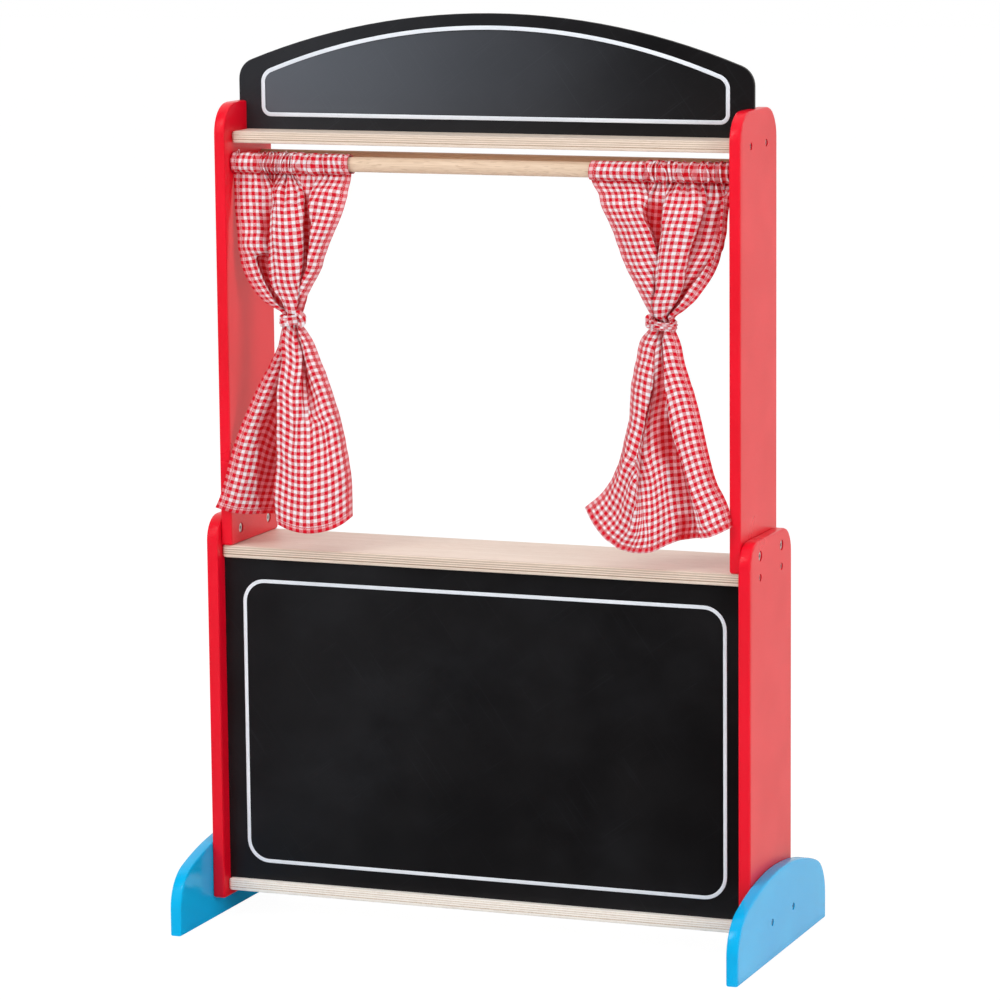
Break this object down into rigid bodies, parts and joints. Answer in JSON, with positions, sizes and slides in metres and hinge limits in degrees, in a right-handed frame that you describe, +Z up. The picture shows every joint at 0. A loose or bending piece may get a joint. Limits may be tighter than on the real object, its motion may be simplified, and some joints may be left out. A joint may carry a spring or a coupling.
{
  "type": "puppet theater stand",
  "caption": "Free-standing puppet theater with a counter, an arched sign chalkboard, a lower chalkboard, rods and tied gingham curtains.",
  "frame": {"origin": "on the floor, midway between the two feet", "axes": "+X to the right as the audience sees it, +Y away from the audience, +Z up"},
  "size_m": [0.72, 0.344, 1.1033],
  "materials": {
    "red_paint": "satin red paint on board",
    "blue_paint": "satin sky blue paint on board",
    "birch_plywood": "clear lacquered birch plywood with rounded edges",
    "beech": "clear lacquered beech dowel",
    "blackboard": "matt blackboard paint",
    "zinc_steel": "bright zinc",
    "gingham": "red and white gingham cotton"
  },
  "bodies": {
    "stand_frame": {"left_lower_side_panel": "red_paint", "left_upper_side_panel": "red_paint", "left_foot": "blue_paint", "right_lower_side_panel": "red_paint", "right_upper_side_panel": "red_paint", "right_foot": "blue_paint", "counter_shelf": "birch_plywood", "bottom_shelf": "birch_plywood", "top_shelf": "birch_plywood", "lower_chalkboard": "blackboard", "sign_chalkboard": "blackboard", "front_curtain_rod": "beech", "back_rod": "beech", "left_front_joint_bolt": "zinc_steel", "left_front_sleeve_nut": "zinc_steel", "left_front_counter_screw": "zinc_steel", "left_front_top_shelf_screw": "zinc_steel", "left_front_foot_screw": "zinc_steel", "left_back_joint_bolt": "zinc_steel", "left_back_sleeve_nut": "zinc_steel", "left_back_counter_screw": "zinc_steel", "left_back_top_shelf_screw": "zinc_steel", "left_back_foot_screw": "zinc_steel", "right_front_joint_bolt": "zinc_steel", "right_front_sleeve_nut": "zinc_steel", "right_front_counter_screw": "zinc_steel", "right_front_top_shelf_screw": "zinc_steel", "right_front_foot_screw": "zinc_steel", "right_back_joint_bolt": "zinc_steel", "right_back_sleeve_nut": "zinc_steel", "right_back_counter_screw": "zinc_steel", "right_back_top_shelf_screw": "zinc_steel", "right_back_foot_screw": "zinc_steel"},
    "left_curtain_heading": {"left_curtain_casing": "gingham"},
    "left_curtain_cloth": {"left_curtain_drop": "gingham", "left_tie_back": "gingham"},
    "right_curtain_heading": {"right_curtain_casing": "gingham"},
    "right_curtain_cloth": {"right_curtain_drop": "gingham", "right_tie_back": "gingham"}
  },
  "joints": [
    {"name": "left_curtain_slide", "type": "slide", "parent": "stand_frame", "child": "left_curtain_heading", "axis": [1, 0, 0], "range_m": [0, 0.15]},
    {"name": "left_curtain_swing", "type": "hinge", "parent": "left_curtain_heading", "child": "left_curtain_cloth", "pos_m": [0, -0.042, 0.9255], "axis": [-1, 0, 0], "range_deg": [0, 20]},
    {"name": "right_curtain_slide", "type": "slide", "parent": "stand_frame", "child": "right_curtain_heading", "axis": [-1, 0, 0], "range_m": [0, 0.13]},
    {"name": "right_curtain_swing", "type": "hinge", "parent": "right_curtain_heading", "child": "right_curtain_cloth", "pos_m": [0, -0.042, 0.9255], "axis": [-1, 0, 0], "range_deg": [0, 20]}
  ]
}
